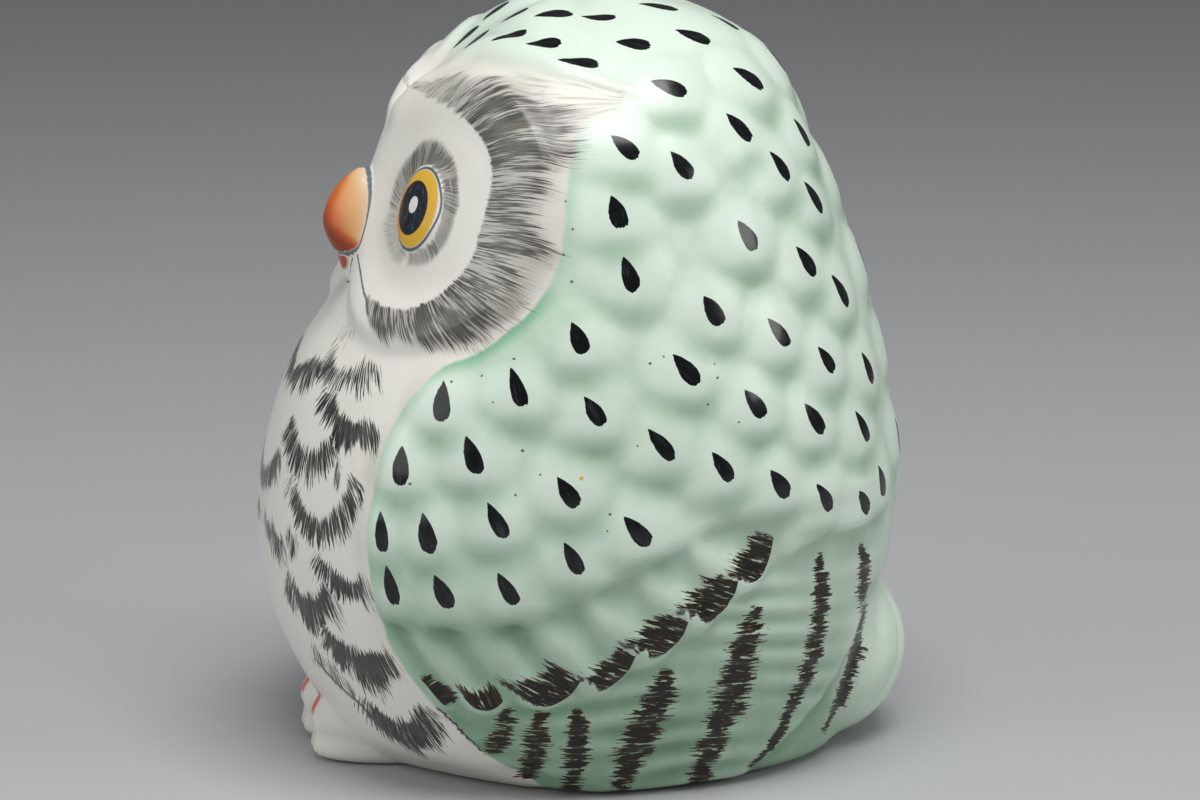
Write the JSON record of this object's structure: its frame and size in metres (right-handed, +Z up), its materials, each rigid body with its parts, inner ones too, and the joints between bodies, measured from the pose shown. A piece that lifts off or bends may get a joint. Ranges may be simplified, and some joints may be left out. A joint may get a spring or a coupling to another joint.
{
  "type": "ceramic owl figurine",
  "caption": "Upright porcelain owl ornament with round face discs, a bulbous beak, scale-like feathers in low relief, folded wings and a short tail, standing on a flat underside.",
  "frame": {"origin": "the middle of the flat underside, on the surface that the owl stands on", "axes": "+Z up through the crown, -Y the way the owl faces, +X towards the owl's left wing"},
  "size_m": [0.1186, 0.1288, 0.1488],
  "materials": {
    "painted_glaze": "satin"
  },
  "bodies": {
    "root": {"owl": "painted_glaze"}
  },
  "joints": []
}
